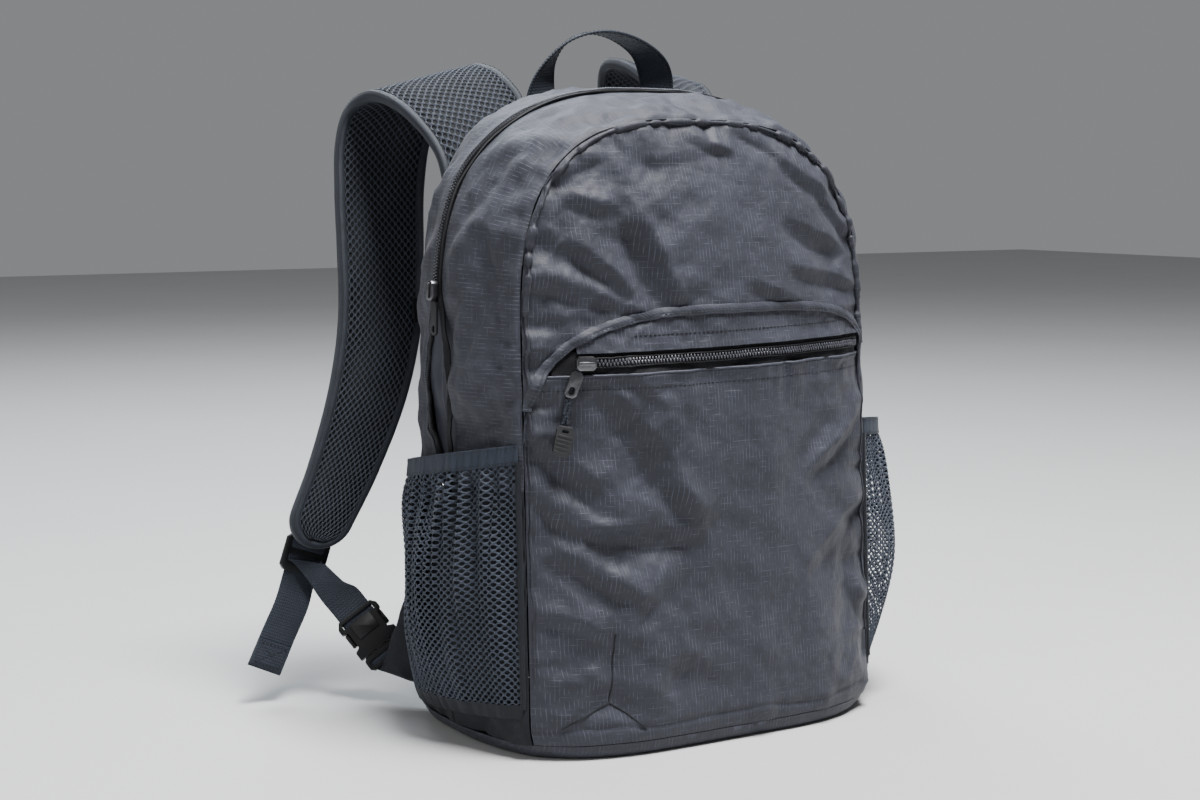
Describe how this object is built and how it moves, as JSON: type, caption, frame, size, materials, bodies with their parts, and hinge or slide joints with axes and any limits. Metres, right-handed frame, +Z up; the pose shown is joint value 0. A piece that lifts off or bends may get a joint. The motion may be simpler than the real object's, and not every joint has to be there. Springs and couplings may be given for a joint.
{
  "type": "packable backpack",
  "caption": "Light ripstop daypack standing on its base, with an arched zipped front pocket, a zip over the top, mesh side pockets, a grab handle and padded shoulder straps.",
  "frame": {"origin": "middle of the flat underside on the ground", "axes": "+Z up, -Y towards the front panel, +Y towards the wearer's back, +X to the right as seen from the front"},
  "size_m": [0.471, 0.2739, 0.4639],
  "materials": {
    "cloth": "crinkled ripstop, satin",
    "webbing": "ribbed grosgrain, matt",
    "trim": "smooth knitted binding, matt",
    "air_mesh": "padded spacer mesh with fine holes",
    "net": "stretch net with diamond holes",
    "zip_coil": "nylon coil",
    "pull": "moulded, matt",
    "plastic": "moulded, low sheen",
    "metal": "gunmetal"
  },
  "bodies": {
    "root": {"base_tray": "cloth", "front_panel": "cloth", "gusset_front": "cloth", "gusset_rear": "cloth", "back_panel": "cloth", "grab_handle": "webbing", "pocket_panel": "cloth", "pocket_header": "cloth", "pocket_binding": "webbing", "pocket_zip_tape": "webbing", "pocket_zip_coil": "zip_coil", "pocket_zip_slider": "metal", "pocket_zip_tab": "metal", "pocket_pull_cord": "webbing", "pocket_pull_grip": "pull", "main_zip_tape_front": "webbing", "main_zip_tape_rear": "webbing", "main_zip_coil": "zip_coil", "main_zip_slider_upper": "metal", "main_zip_pull_upper": "pull", "main_zip_slider_lower": "metal", "side_pocket_mesh_left": "net", "side_pocket_band_left": "webbing", "shoulder_strap_left": "air_mesh", "strap_trim_left": "trim", "sternum_keeper_left": "plastic", "lock_tab_left": "webbing", "ladder_lock_left": "plastic", "adjuster_tail_left": "webbing", "adjuster_webbing_left": "webbing", "buckle_socket_left": "plastic", "buckle_plug_left": "plastic", "corner_wing_left": "cloth", "side_pocket_mesh_right": "net", "side_pocket_band_right": "webbing", "shoulder_strap_right": "air_mesh", "strap_trim_right": "trim", "sternum_keeper_right": "plastic", "lock_tab_right": "webbing", "ladder_lock_right": "plastic", "adjuster_tail_right": "webbing", "adjuster_webbing_right": "webbing", "buckle_socket_right": "plastic", "buckle_plug_right": "plastic", "corner_wing_right": "cloth", "sternum_strap": "webbing", "sternum_clasp": "plastic"}
  },
  "joints": []
}
